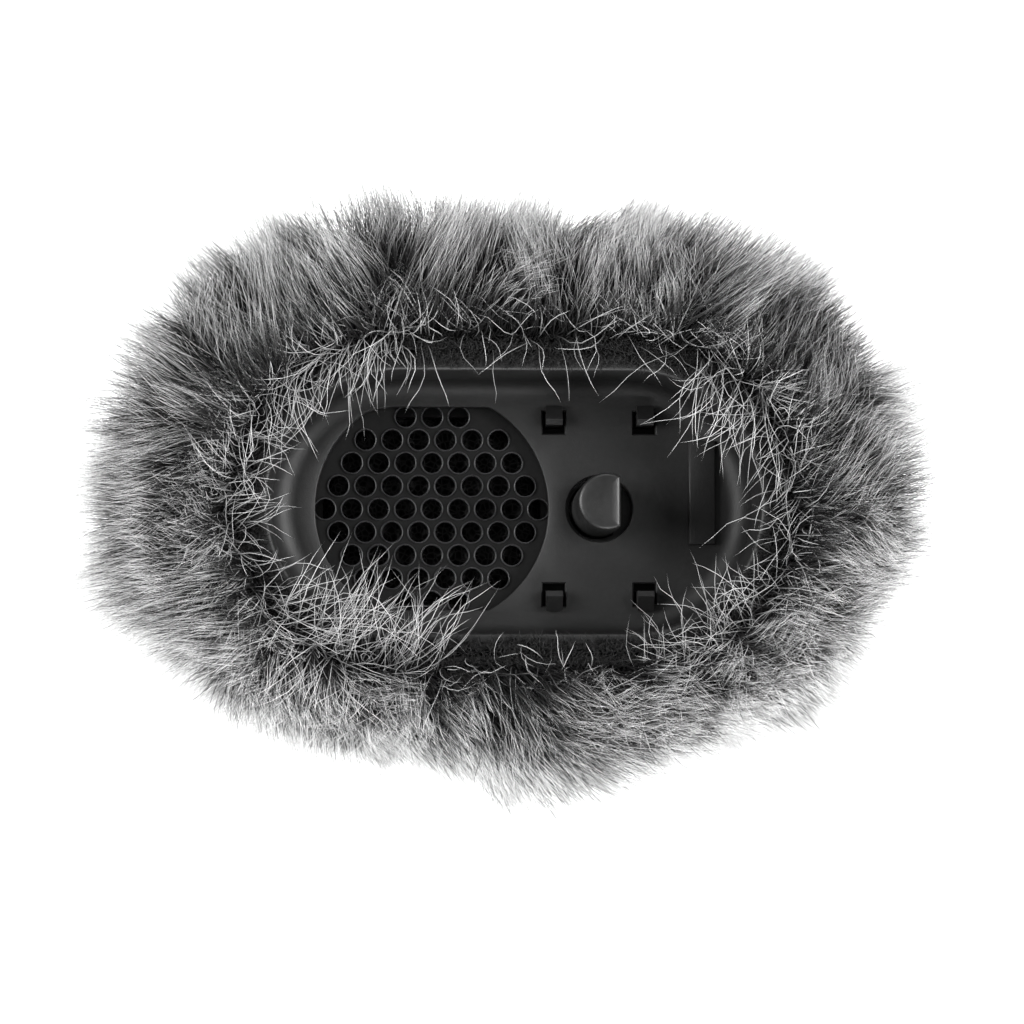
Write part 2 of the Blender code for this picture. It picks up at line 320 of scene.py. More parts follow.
def around(q, reach):
    """Spine point and angle at the distance q along the pill outline of each reach."""
    straight = 2.0 * SPINE
    arc = math.pi * reach
    front = q < straight
    right = ~front & (q < straight + arc)
    back = ~front & ~right & (q < 2.0 * straight + arc)
    spine = np.where(front, q - SPINE, 0.0)
    spine = np.where(right, SPINE, spine)
    spine = np.where(back, SPINE - (q - straight - arc), spine)
    spine = np.where(~front & ~right & ~back, -SPINE, spine)
    reach = np.maximum(reach, 1e-6)
    angle = np.full(len(q), -0.5 * math.pi)
    angle = np.where(right, -0.5 * math.pi + (q - straight) / reach, angle)
    angle = np.where(back, 0.5 * math.pi, angle)
    angle = np.where(~front & ~right & ~back,
                     0.5 * math.pi + (q - 2.0 * straight - arc) / reach, angle)
    return spine, angle


def new_object(name, mesh, material, smooth_angle=None):
    if smooth_angle is None:
        mesh.shade_flat()
    else:
        mesh.shade_smooth()
        if smooth_angle < 180.0:
            mesh.set_sharp_from_angle(angle=math.radians(smooth_angle))
    mesh.materials.clear()
    mesh.materials.append(material)
    item = bpy.data.objects.new(name, mesh)
    bpy.context.collection.objects.link(item)
    return item


def mesh_of(work, name):
    """Writes the bmesh, its normals outwards, to a new mesh, and frees it."""
    bmesh.ops.recalc_face_normals(work, faces=work.faces)
    mesh = bpy.data.meshes.new(name)
    work.to_mesh(mesh)
    work.free()
    return mesh


def tube_mesh(name, rings, closed=False):
    """Joins rings of equal length, arrays of (x, y, z) in mm, into one closed body."""
    work = bmesh.new()
    loops = [[work.verts.new(Vector(p) * MM) for p in ring] for ring in rings]
    pairs = list(zip(loops, loops[1:]))
    if closed:
        pairs.append((loops[-1], loops[0]))
    else:
        work.faces.new(loops[0])
        work.faces.new(loops[-1])
    count = len(loops[0])
    for lower, upper in pairs:
        for i in range(count):
            j = (i + 1) % count
            work.faces.new((lower[i], lower[j], upper[j], upper[i]))
    return mesh_of(work, name)


def keep(piece, slot, *nodes):
    """Puts the piece on the windscreen's body, and hides the model's nodes that it stands for."""
    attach(piece, BODY)
    if nodes:
        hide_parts(*nodes)
    return piece


# ---------------------------------------------------------------- plastics

def dress_plastics():
    black = moulded("black_moulding_grain", 0.006, 0.009, 0.48, 0.58)
    peg = moulded("peg_moulding_grain", 0.007, 0.010, 0.38, 0.48)
    glue = glue_material()
    for name in HOOKS + ["carrier_plate"]:
        paint(frame["nodes"][name], black)
        ease(frame["nodes"][name], 0.07)
    paint(frame["nodes"]["glue_band"], glue)
    socket(black)
    peg_pin(peg)


def paint(item, material):
    item.data.materials.clear()
    item.data.materials.append(material)


def ease(item, width):
    """Rounds the sharp edges of a moulding by this many mm."""
    bevel = item.modifiers.new("eased_edges", "BEVEL")
    bevel.width = width * MM
    bevel.segments = 2
    bevel.limit_method = "ANGLE"
    bevel.angle_limit = math.radians(40.0)
    bevel.harden_normals = True


INSIDE_ONLY = 1     # what the triangulation gives back


class Shell:
    """A closed body made of outlines, the walls between them and flat faces with holes in."""

    def __init__(self, name):
        self.name = name
        self.work = bmesh.new()

    def loop(self, outline, height):
        return [self.work.verts.new((x, y, height)) for x, y in outline]

    def walls(self, *loops):
        for a, b in zip(loops, loops[1:]):
            for i in range(len(a)):
                j = (i + 1) % len(a)
                self.work.faces.new((a[i], a[j], b[j], b[i]))

    def flat(self, *loops):
        """A flat face inside the first outline, less the others, which are convex holes."""
        corners = [vert for loop in loops for vert in loop]
        owner = [index for index, loop in enumerate(loops) for _ in loop]
        edges = []
        for loop in loops:
            start = len(edges)
            edges += [(start + i, start + (i + 1) % len(loop)) for i in range(len(loop))]
        found = delaunay_2d_cdt([vert.co.xy for vert in corners], edges, [], INSIDE_ONLY, 1e-7)
        for face in found[2]:
            own = [found[3][i][0] for i in face]
            if owner[own[0]] == 0 or len({owner[i] for i in own}) > 1:
                self.work.faces.new([corners[i] for i in own])

    def finish(self, material, smooth_angle):
        """The object, once the body is scaled from mm to metres."""
        bmesh.ops.recalc_face_normals(self.work, faces=self.work.faces)
        bmesh.ops.scale(self.work, vec=(MM, MM, MM), verts=self.work.verts)
        return new_object(self.name, mesh_of(self.work, self.name), material, smooth_angle)


def circle(x, y, radius, sides, crop=None):
    """Points round a centre, all inside the pill outline of reach crop."""
    points = []
    for side in range(sides):
        angle = 2.0 * math.pi * (side + 0.5) / sides
        points.append((x + radius * math.cos(angle), y + radius * math.sin(angle)))
    return points if crop is None else drawn_in(points, crop)


def drawn_in(points, reach):
    """Moves the points that lie outside the pill outline of this reach onto it."""
    moved = []
    for x, y in points:
        spine = max(-SPINE, min(SPINE, x))
        share = min(1.0, reach / max(math.hypot(x - spine, y), 1e-9))
        moved.append((spine + (x - spine) * share, y * share))
    return moved


def rectangle(low_x, low_y, high_x, high_y, spread=0.0):
    low_x, low_y, high_x, high_y = low_x - spread, low_y - spread, high_x + spread, high_y + spread
    return [(low_x, low_y), (high_x, low_y), (high_x, high_y), (low_x, high_y)]


def pill(reach, arc_steps=72):
    points = []
    for end, start in ((SPINE, -90.0), (-SPINE, 90.0)):
        for step in range(arc_steps + 1):
            angle = math.radians(start + 180.0 * step / arc_steps)
            points.append((end + reach * math.cos(angle), reach * math.sin(angle)))
    return points


def corner(reach, height, radius, first, last, steps):
    """Profile points round a corner whose centre is at (reach, height)."""
    points = []
    for step in range(steps + 1):
        angle = math.radians(first + (last - first) * step / steps)
        points.append((reach + radius * math.cos(angle), height + radius * math.sin(angle)))
    return points


ROUND_SIDES = 120       # of the grille's window and seat
SMOOTH_BELOW = 40.0     # edges of mouldings that turn by more degrees than this stay sharp
FILLET = 1.45           # between the socket's wall and floor
RIM_EDGE = 0.25
SEAT = 0.6              # depth of the grille's seat, cut from below
SEAT_SPARE = 0.3        # the seat's radius, past the grille's
WINDOW_LIP = 0.5        # the window's radius, short of the grille's
WINDOW_CROP = 6.45
PEG_HOLE = 2.09
BLOCK = (11.25, -2.3, 12.95, 4.3)   # locating block on the floor: x and y, lowest then highest
BLOCK_HEIGHT = 0.45


def socket(material):
    """The pill-shaped socket, with its floor's window, peg hole, hook slots and locating block."""
    peg_low, peg_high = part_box("locking_peg")
    peg_x = (peg_low.x + peg_high.x) / 2 / MM
    grille_x = (GRILLE_LOW.x + GRILLE_HIGH.x) / 2 / MM
    grille_radius = (GRILLE_HIGH.x - GRILLE_LOW.x) / 2 / MM
    body = Shell("socket_shell")
    profile = [(CUP_REACH - 0.4, FLOOR_BOTTOM), (CUP_REACH, FLOOR_BOTTOM + 0.4)]
    profile += corner(CUP_REACH - RIM_EDGE, RIM - RIM_EDGE, RIM_EDGE, 0.0, 90.0, 4)
    profile += corner(MOUTH_REACH + RIM_EDGE, RIM - RIM_EDGE, RIM_EDGE, 90.0, 180.0, 4)
    profile += corner(MOUTH_REACH - FILLET, FLOOR_TOP + FILLET, FILLET, 0.0, -90.0, 18)
    loops = [body.loop(pill(reach), height) for reach, height in profile]
    body.walls(*loops)
    above = [loops[-1]]
    below = [loops[0]]

    def window(spread):
        radius = grille_radius - WINDOW_LIP + spread
        return circle(grille_x, 0.0, radius, ROUND_SIDES, WINDOW_CROP + spread)

    edge = [body.loop(window(0.08), FLOOR_TOP), body.loop(window(0.03), FLOOR_TOP - 0.03),
            body.loop(window(0.0), FLOOR_TOP - 0.08), body.loop(window(0.0), FLOOR_BOTTOM + SEAT)]
    body.walls(*edge)
    above.append(edge[0])
    seat = circle(grille_x, 0.0, grille_radius + SEAT_SPARE, ROUND_SIDES)
    seat = [body.loop(seat, FLOOR_BOTTOM + SEAT), body.loop(seat, FLOOR_BOTTOM)]
    body.flat(seat[0], edge[-1])
    body.walls(*seat)
    below.append(seat[1])
    for outline in [lambda spread: circle(peg_x, 0.0, PEG_HOLE + spread, 64)] + slots():
        hole = [body.loop(outline(0.08), FLOOR_TOP), body.loop(outline(0.0), FLOOR_TOP - 0.08),
                body.loop(outline(0.0), FLOOR_BOTTOM)]
        body.walls(*hole)
        above.append(hole[0])
        below.append(hole[-1])
    body.flat(*above)
    body.flat(*below)
    shell = body.finish(material, SMOOTH_BELOW)

    block = Shell("block_guide")
    steps = [(0.0, FLOOR_TOP - 0.3), (0.0, FLOOR_TOP + BLOCK_HEIGHT - 0.1),
             (-0.04, FLOOR_TOP + BLOCK_HEIGHT - 0.03), (-0.12, FLOOR_TOP + BLOCK_HEIGHT)]
    layers = [block.loop(rectangle(*BLOCK, spread), height) for spread, height in steps]
    block.walls(*layers)
    block.flat(layers[0])
    block.flat(layers[-1])
    guide = block.finish(material, SMOOTH_BELOW)
    unite(shell, guide)
    shell.data.set_sharp_from_angle(angle=math.radians(SMOOTH_BELOW))
    keep(shell, "black_moulding", "socket_cup")


PEG_FLANGE = 0.5
PEG_RADIUS = 1.75
PEG_FLAT = 0.85         # distance from the peg's axis to its flat


def peg_pin(material):
    """The D-shaped peg on its flange, with eased edges and a slightly domed end."""
    low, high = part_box("locking_peg")
    x = (low.x + high.x) / 2 / MM
    bottom = low.z / MM
    top = high.z / MM

    def section(spread):
        points = circle(0.0, 0.0, PEG_RADIUS + spread, 96)
        return [(x + min(px, PEG_FLAT + spread), py) for px, py in points]

    peg = Shell("peg_pin")
    flange = circle(x, 0.0, (high.x - low.x) / 2 / MM, 96)
    loops = [peg.loop(flange, bottom), peg.loop(flange, bottom + PEG_FLANGE),
             peg.loop(section(0.12), bottom + PEG_FLANGE),
             peg.loop(section(0.0), bottom + PEG_FLANGE + 0.15)]
    for spread, drop in ((0.0, 0.30), (-0.03, 0.18), (-0.10, 0.09), (-0.22, 0.04), (-0.6, 0.0)):
        loops.append(peg.loop(section(spread), top - drop))
    peg.walls(*loops)
    peg.flat(loops[0])
    peg.flat(loops[-1])
    keep(peg.finish(material, SMOOTH_BELOW), "peg_moulding", "locking_peg")


def slots():
    """An outline function for the slot round each hook."""
    outlines = []
    for name in HOOKS:
        low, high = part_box(name)
        near, far = sorted((abs(low.y) / MM, abs(high.y) / MM))
        side = math.copysign(1.0, low.y)
        ys = sorted((side * (near - 0.5), side * (far - 0.3)))
        sides = (low.x / MM - 0.2, ys[0], high.x / MM + 0.2, ys[1])
        outlines.append(lambda spread, sides=sides:
                        drawn_in(rectangle(*sides, spread), WINDOW_CROP + spread))
    return outlines


def unite(item, other):
    """Joins the other body to the item, which keeps one surface."""
    union = item.modifiers.new("union", "BOOLEAN")
    union.operation = "UNION"
    union.solver = "EXACT"
    union.object = other
    evaluated = item.evaluated_get(bpy.context.evaluated_depsgraph_get())
    item.data = bpy.data.meshes.new_from_object(evaluated)
    item.modifiers.clear()
    bpy.data.objects.remove(other)


# Profile of each hole, from the grille's face inwards: radius, and depth below the highest point
SINK = [(0.74, 0.16), (0.725, 0.05), (0.705, 0.01), (0.675, 0.0), (0.65, 0.02), (0.63, 0.08),
        (0.62, 0.20)]
FACE_DROP = SINK[0][1]
HOLE_PITCH = 1.70
HOLES_IN_ROW = {0: 9, 1: 8, 2: 7, 3: 6, 4: 3}


def grille():
    """The perforated plate, with countersunk round holes in a honeycomb pattern."""
    x = (GRILLE_LOW.x + GRILLE_HIGH.x) / 2 / MM
    radius = (GRILLE_HIGH.x - GRILLE_LOW.x) / 2 / MM
    top = GRILLE_HIGH.z / MM
    bottom = GRILLE_LOW.z / MM
    plate = Shell("grille_plate")
    outline = circle(x, 0.0, radius, 96)
    outer = [plate.loop(outline, top - FACE_DROP), plate.loop(outline, bottom)]
    plate.walls(*outer)
    above = [outer[0]]
    below = [outer[1]]
    for row in range(-4, 5):
        holes = HOLES_IN_ROW[abs(row)]
        y = row * HOLE_PITCH * math.sqrt(0.75)
        for hole in range(holes):
            hole_x = x + (hole - (holes - 1) / 2.0) * HOLE_PITCH
            loops = [plate.loop(circle(hole_x, y, r, 32), top - depth) for r, depth in SINK]
            loops.append(plate.loop(circle(hole_x, y, SINK[-1][0], 32), bottom))
            plate.walls(*loops)
            above.append(loops[0])
            below.append(loops[-1])
    plate.flat(*above)
    plate.flat(*below)
    material = grille_material(top)
    keep(plate.finish(material, 50.0), "grille_moulding", "mic_grille")


# ---------------------------------------------------------------- foam, hem and backing cloth

def lumpy(points, rng_seed, size, amount):
    """Small smooth bumps: a sum of plane waves, the same ones each time."""
    rng = np.random.default_rng(rng_seed)
    value = np.zeros(len(points))
    for _ in range(10):
        wave = rng.normal(size=3)
        wave *= 2.0 * math.pi / size / np.linalg.norm(wave) * rng.uniform(0.6, 1.6)
        value += np.sin(points @ wave + rng.uniform(0.0, 2.0 * math.pi))
    return value * amount / 3.2


def uneven_rings(profile, steps, seed, size, amount):
    """Pill outlines at these (reach, height) points, with small bumps in their height."""
    rings = []
    for reach, height in profile:
        ring = np.column_stack([pill_loop(reach, steps), np.full(steps, height)])
        ring[:, 2] += lumpy(ring, seed, size, amount)
        rings.append(ring)
    return rings


def foams():
    material = foam_material()
    low = CORE_LOW.z / MM
    high = CORE_HIGH.z / MM
    wide = CORE_HIGH.y / MM
    drop = high - low
    profile = [(0.4, low + 0.25), (wide * 0.30, low + 0.22), (wide * 0.55, low + 0.4)]
    for step in range(9):
        turn = math.radians(-72.0 + 144.0 * step / 8)
        reach = wide - 0.25 - 2.6 * (1.0 - math.cos(turn))
        profile.append((reach, low + drop * (0.5 + 0.46 * math.sin(turn) / math.sin(1.2566))))
    profile += [(wide * 0.6, high - 0.2), (wide * 0.3, high - 0.15), (0.4, high - 0.15)]
    mesh = tube_mesh("foam_block", uneven_rings(profile, 96, 3, 5.0, 0.12))
    core = keep(new_object("foam_block", mesh, material, 60.0), "foam", "foam_core")

    pad_low, pad_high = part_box("foam_pad")
    centre = (pad_low + pad_high) / 2 / MM
    radius = (pad_high.x - pad_low.x) / 2 / MM
    crop = (pad_high.y - pad_low.y) / 2 / MM
    rings = []
    for reach, height in ((0.2, pad_low.z / MM), (radius - 0.3, pad_low.z / MM),
                          (radius, pad_low.z / MM + 0.3), (radius, pad_high.z / MM - 0.3),
                          (radius - 0.3, pad_high.z / MM - 0.05), (radius * 0.7, pad_high.z / MM),
                          (radius * 0.35, pad_high.z / MM), (0.2, pad_high.z / MM)):
        turn = 2.0 * math.pi * np.arange(72) / 72
        x = centre.x + reach * np.cos(turn)
        y = np.clip(centre.y + reach * np.sin(turn), -crop, crop)
        ring = np.column_stack([x, y, np.full(72, height)])
        ring[:, 2] -= np.abs(lumpy(ring, 5, 1.6, 0.12))
        rings.append(ring)
    pad = new_object("foam_disc", tube_mesh("foam_disc", rings), material, 60.0)
    keep(pad, "foam", "foam_pad")


def hem():
    """Woven tape folded over the edge of the fur bag."""
    inner = CUP_REACH + 0.75
    outer = HEM_REACH
    low = BIND_LOW.z / MM
    high = BIND_HIGH.z / MM
    middle = (inner + outer) / 2
    half = (outer - inner) / 2
    section = [(outer, low)]
    for step in range(9):
        turn = math.pi * step / 8
        section.append((middle + half * math.cos(turn), high - half + half * math.sin(turn)))
    section += [(inner, low), (middle, low)]
    mesh = tube_mesh("hem_tape", uneven_rings(section, 240, 9, 4.0, 0.10), closed=True)
    tape = weave_material("tape_weave", 0.42, 0.003, 0.009)
    keep(new_object("hem_tape", mesh, tape, 60.0), "binding_tape", "hem_binding")


# Backing cloth's profile, as (reach, height) in mm, from the hem down and round to the crown
SKIN = [(11.15, 27.2), (11.3, 26.4), (11.7, 24.5), (12.1, 22.0), (12.35, 19.0), (12.4, 16.0),
        (12.1, 13.5), (11.2, 11.4), (9.4, 9.6), (6.5, 8.45), (3.2, 8.05), (0.0, 7.95)]
# Where fibres grow: on the top of the hem too
GROWTH = [(10.0, RIM + 0.1), (10.7, RIM + 0.15)] + SKIN


def read_profile(points, samples=160):
    """A profile read evenly along its length: distance from its start, reach, height, normal."""
    points = np.array(points)
    along = np.concatenate([[0.0], np.cumsum(np.linalg.norm(np.diff(points, axis=0), axis=1))])
    at = np.linspace(0.0, along[-1], samples)
    curve = np.stack([np.interp(at, along, points[:, k]) for k in range(2)], axis=1)
    for _ in range(12):
        curve[1:-1] = 0.25 * curve[:-2] + 0.5 * curve[1:-1] + 0.25 * curve[2:]
    slope = np.gradient(curve, axis=0)
    slope /= np.linalg.norm(slope, axis=1)[:, None]
    normal = np.stack([-slope[:, 1], slope[:, 0]], axis=1)
    return at, curve[:, 0], curve[:, 1], normal


GORES = {"right": (-45.0, 45.0), "back": (45.0, 135.0), "left": (135.0, 225.0),
         "front": (225.0, 315.0)}


def gore_of(angle):
    """Name of the gore that each angle lies in."""
    turn = (np.degrees(angle) + 45.0) % 360.0
    names = np.array(["right", "back", "left", "front"])
    return names[np.minimum((turn // 90.0).astype(int), 3)]


def backing(name, first, last, material):
    """The knitted backing of one gore, a thin closed shell."""
    at, reach, height, normal = read_profile(SKIN, 40)
    lines = []
    turns = np.linspace(first, last, 13)
    for turn in turns:
        across = math.cos(math.radians(turn))
        ends = [math.copysign(SPINE, across)]
        if abs(across) < 1e-6:
            ends = [-SPINE, SPINE] if first > 180.0 else [SPINE, -SPINE]
        lines += [(end, math.radians(turn)) for end in ends]
    work = bmesh.new()
    sheets = []
    for depth in (0.0, 0.45):
        sheet = []
        for end, angle in lines:
            across, along = math.cos(angle), math.sin(angle)
            r = np.maximum(reach - depth * normal[:, 0], 0.5)
            z = height - depth * normal[:, 1]
            sheet.append([work.verts.new(Vector((end + a * across, a * along, b)) * MM)
                          for a, b in zip(r, z)])
        sheets.append(sheet)
    outer, inner = sheets
    rows = len(lines)
    columns = len(at)
    for i in range(rows - 1):
        for j in range(columns - 1):
            work.faces.new((outer[i][j], outer[i + 1][j], outer[i + 1][j + 1], outer[i][j + 1]))
            work.faces.new((inner[i][j], inner[i][j + 1], inner[i + 1][j + 1], inner[i + 1][j]))
    rim = [(i, 0) for i in range(rows)] + [(rows - 1, j) for j in range(1, columns)]
    rim += [(i, columns - 1) for i in range(rows - 2, -1, -1)]
    rim += [(0, j) for j in range(columns - 2, 0, -1)]
    for (a, b), (c, d) in zip(rim, rim[1:] + rim[:1]):
        work.faces.new((outer[a][b], inner[a][b], inner[c][d], outer[c][d]))
    mesh = mesh_of(work, "backing_" + name)
    piece = new_object("backing_" + name, mesh, material, 60.0)
    keep(piece, "fur")
    area = sum(p.area for p in mesh.polygons) / 2.0
    straight = 2.0 * SPINE if len(lines) > len(turns) else 0.0
    wide = (math.radians(last - first) * reach.max() + straight) * MM
    return piece, area, (wide, float(at[-1]) * MM)


# ---------------------------------------------------------------- the pile

def periodic(angle, table):
    """Reads a smooth periodic table of (degrees, value) at each angle in degrees."""
    degrees, values = np.array(table, float).T
    degrees = np.concatenate([degrees - 360.0, degrees, degrees + 360.0])
    values = np.tile(values, 3)
    fine = np.arange(-360.0, 720.0, 2.0)
    line = np.interp(fine, degrees, values)
    window = np.hanning(13)
    line = np.convolve(np.pad(line, 6, mode="edge"), window / window.sum(), mode="valid")
    return np.interp(angle % 360.0, fine, line)


# How the pile is combed: where fibres point, by the bearing of their roots from the middle of
# the mouth, both in degrees. A parting lies at the front left.
HEADING = [(0, 3), (15, 22), (30, 42), (45, 54), (60, 58), (80, 60), (95, 66), (105, 76),
           (115, 92), (125, 110), (140, 132), (150, 145), (165, 163), (180, 181), (190, 194),
           (200, 214), (210, 243), (221, 283), (234, 312), (250, 322), (265, 324), (280, 330),
           (295, 338), (310, 341), (325, 341), (340, 349), (350, 356)]
LENGTH = [(0, 1.12), (12, 1.06), (60, 1.0), (90, 1.04), (134, 1.02), (168, 1.1), (183, 1.14),
          (203, 0.88), (222, 0.68), (236, 0.68), (252, 1.0), (268, 1.24), (282, 1.14), (300, 0.92),
          (315, 0.8), (332, 0.8), (347, 1.02)]
# By distance from the hem along the cloth, in mm: upward tilt in degrees, and length in mm
TILT = [(0.0, 48.0), (1.3, 40.0), (4.0, 30.0), (7.0, 18.0), (11.0, 0.0), (15.0, -24.0),
        (19.0, -46.0), (24.0, -60.0), (30.0, -64.0)]
REACH = [(0.0, 5.5), (1.3, 7.4), (4.0, 8.8), (7.0, 9.2), (13.0, 9.0), (19.0, 9.4), (30.0, 9.6)]


def table_at(x, table):
    a, b = np.array(table).T
    return np.interp(x, a, b)


class Roots:
    """Places on the backing cloth where fibres grow, all in mm, as arrays."""

    def __init__(self, count, rng, nearest=0.0, furthest=None):
        at, reach, height, normal = read_profile(GROWTH)
        furthest = at[-1] if furthest is None else furthest
        inside = (at >= nearest) & (at <= furthest)
        weight = np.where(inside, perimeter(reach), 0.0)
        total = np.concatenate([[0.0], np.cumsum(0.5 * (weight[1:] + weight[:-1]))])
        self.down = np.interp(rng.random(count) * total[-1], total, at)
        self.reach = np.interp(self.down, at, reach)
        self.normal_out = np.interp(self.down, at, normal[:, 0])
        self.normal_up = np.interp(self.down, at, normal[:, 1])
        height = np.interp(self.down, at, height)
        spine, self.angle = around(rng.random(count) * perimeter(self.reach), self.reach)
        self.out = np.stack([np.cos(self.angle), np.sin(self.angle), np.zeros(count)], axis=1)
        self.side = np.stack([-np.sin(self.angle), np.cos(self.angle), np.zeros(count)], axis=1)
        self.point = self.out * self.reach[:, None]
        self.point[:, 0] += spine
        self.point[:, 2] = height
        self.bearing = np.degrees(np.arctan2(self.point[:, 1], self.point[:, 0]))


UP = np.array([0.0, 0.0, 1.0])


def unit(vectors):
    return vectors / np.maximum(np.linalg.norm(vectors, axis=-1, keepdims=True), 1e-9)


def smooth_noise(points, seed, size):
    """Three smooth random fields over space, each about -1 to 1."""
    return np.stack([lumpy(points, seed + k, size, 1.0) for k in range(3)], axis=1)


def comb(roots, rng, mess):
    """Directions at the root and at the tip of each fibre, and its length."""
    down = roots.down
    edge = np.clip(1.0 - down / 6.0, 0.0, 1.0)
    under = np.clip((down - 19.0) / 5.0, 0.0, 1.0)
    bearings, headings = np.array(HEADING, float).T
    turn = np.radians(headings)
    along = np.stack([periodic(roots.bearing, list(zip(bearings, np.cos(turn)))),
                      periodic(roots.bearing, list(zip(bearings, np.sin(turn))))], axis=1)
    along = unit(np.column_stack([along, np.zeros(len(down))]))
    swirl = unit(roots.out + 0.35 * roots.side)
    along = unit(along * (1.0 - under)[:, None] + swirl * under[:, None])
    field = smooth_noise(roots.point, 100, 9.0)
    fine = smooth_noise(roots.point, 200, 3.5)
    scatter = rng.normal(size=(len(down), 3)) * mess * (1.0 + 3.0 * edge)[:, None]
    theta = np.arctan2(along[:, 1], along[:, 0]) + 0.26 * field[:, 0] + 0.22 * fine[:, 0]
    theta = theta + scatter[:, 0]
    tilt = np.radians(table_at(down, TILT) + 9.0 * field[:, 2] + 9.0 * fine[:, 2])
    tilt = np.clip(tilt + scatter[:, 1] * 0.8, -1.2, 1.2)
    flat = np.stack([np.cos(theta), np.sin(theta), np.zeros(len(down))], axis=1)
    tip = flat * np.cos(tilt)[:, None] + UP * np.sin(tilt)[:, None]
    normal = roots.out * roots.normal_out[:, None] + UP * roots.normal_up[:, None]
    base = unit(0.8 * normal + 0.7 * tip)
    length = table_at(down, REACH) * periodic(roots.bearing, LENGTH)
    length = length * (1.0 + 0.10 * field[:, 1] + 0.05 * fine[:, 1])
    return base, tip, length


def grow(roots, rng, steps, mess, droop, wave):
    """Centre lines of the fibres: an array of fibres, points, coordinates."""
    base, tip, length = comb(roots, rng, mess)
    count = len(length)
    length = length * rng.uniform(0.68, 1.12, count)
    phase = rng.uniform(0.0, 2.0 * math.pi, (count, 2))
    turn = rng.uniform(0.6, 1.4, count)
    across = unit(np.cross(tip, rng.normal(size=(count, 3))))
    lines = np.empty((count, steps + 1, 3))
    lines[:, 0] = roots.point
    for step in range(steps):
        t = (step + 0.5) / steps
        share = min(1.0, 1.6 * t)
        heading = base * (1.0 - share) + tip * share
        heading = heading - UP * (droop * t * t)
        swing = np.sin(phase[:, 0] + 2.0 * math.pi * turn * t) * wave
        heading = unit(heading + across * swing[:, None])
        lines[:, step + 1] = lines[:, step] + heading * (length / steps)[:, None]
    return lines


def gather(lines, roots, guides, guide_roots, amount, sharpness):
    """Draws each fibre towards the guide that is nearest to its root, more and more to its tip."""
    tree = KDTree(len(guide_roots.point))
    for index, point in enumerate(guide_roots.point):
        tree.insert(point, index)
    tree.balance()
    nearest = np.array([tree.find(p)[1] for p in roots.point])
    t = np.linspace(0.0, 1.0, lines.shape[1])
    pull = (amount[:, None] * t[None, :] ** sharpness)[:, :, None]
    offset = (roots.point - guide_roots.point[nearest])[:, None, :]
    target = guides[nearest] + offset * (1.0 - 0.6 * t)[None, :, None]
    return lines * (1.0 - pull) + target * pull


def settle(lines, floor=0.12):
    """Fibres that would go below the surface that the crown lies on are pressed flat on it."""
    z = lines[:, :, 2]
    soft = 1.6
    low = floor + soft * np.exp((np.minimum(z, soft + floor) - soft - floor) / soft)
    lines[:, :, 2] = np.where(z < soft + floor, low, z)
    return lines


def clear_of_socket(lines):
    """Which fibres stay out of the socket's wall and off its floor."""
    spine = np.clip(lines[:, :, 0], -SPINE, SPINE)
    reach = np.hypot(lines[:, :, 0] - spine, lines[:, :, 1])
    z = lines[:, :, 2]
    in_wall = (reach < CUP_REACH + 0.2) & (reach > MOUTH_REACH - 0.3) & (z < RIM + 0.05)
    in_floor = (reach < MOUTH_REACH) & (z < FLOOR_TOP + 0.6)
    hit = (in_wall | in_floor) & (z > FLOOR_BOTTOM - 2.0)
    return ~hit.any(axis=1)


ACROSS = (0.0, 0.5, 1.0)    # a ring's three corners, across their column of the UV layer


